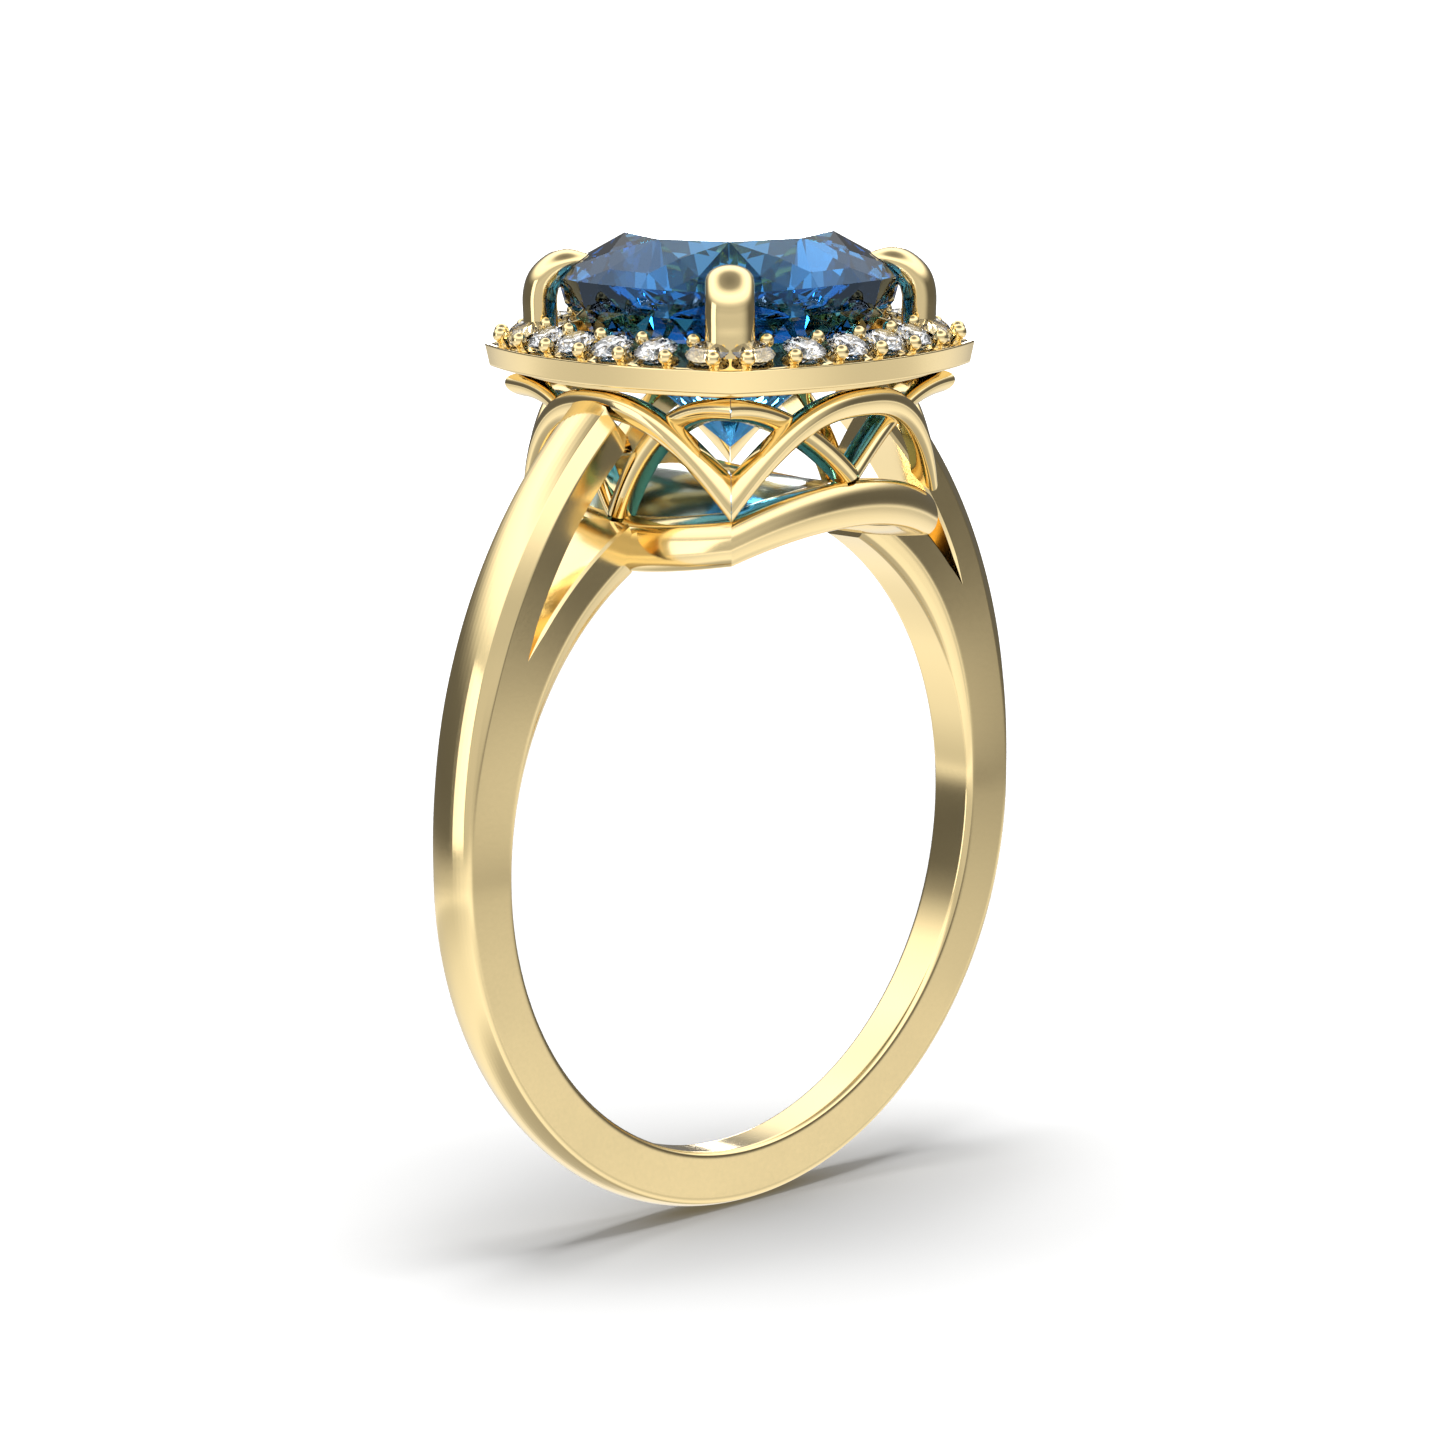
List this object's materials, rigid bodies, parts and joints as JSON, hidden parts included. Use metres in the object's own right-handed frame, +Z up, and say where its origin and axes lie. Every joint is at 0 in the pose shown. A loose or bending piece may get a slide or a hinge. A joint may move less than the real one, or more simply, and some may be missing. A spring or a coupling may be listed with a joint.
{
  "type": "halo engagement ring",
  "caption": "Gold ring with split shoulders, an arched gallery and a cushion-cut blue stone in claw prongs inside a halo of small round stones.",
  "frame": {"origin": "on the lowest point under the band, on the ring's centre line", "axes": "+Z up through the finger hole to the centre stone's table; +Y along the finger; +X across the band"},
  "size_m": [0.0208, 0.0114, 0.0263],
  "materials": {
    "yellow_gold": "polished",
    "blue_topaz": "polished",
    "diamond": "polished"
  },
  "bodies": {
    "root": {"shank": "yellow_gold", "base_rail": "yellow_gold", "base_plate": "yellow_gold", "side_arch_1": "yellow_gold", "side_arch_2": "yellow_gold", "side_arch_3": "yellow_gold", "side_arch_4": "yellow_gold", "corner_arch_1": "yellow_gold", "corner_arch_2": "yellow_gold", "corner_arch_3": "yellow_gold", "corner_arch_4": "yellow_gold", "halo_plate": "yellow_gold", "prong_1": "yellow_gold", "prong_2": "yellow_gold", "prong_3": "yellow_gold", "prong_4": "yellow_gold", "centre_stone": "blue_topaz", "melee_01": "diamond", "melee_02": "diamond", "melee_03": "diamond", "melee_04": "diamond", "melee_05": "diamond", "melee_06": "diamond", "melee_07": "diamond", "melee_08": "diamond", "melee_09": "diamond", "melee_10": "diamond", "melee_11": "diamond", "melee_12": "diamond", "melee_13": "diamond", "melee_14": "diamond", "melee_15": "diamond", "melee_16": "diamond", "melee_17": "diamond", "melee_18": "diamond", "melee_19": "diamond", "melee_20": "diamond", "melee_21": "diamond", "melee_22": "diamond", "melee_23": "diamond", "melee_24": "diamond"}
  },
  "joints": []
}
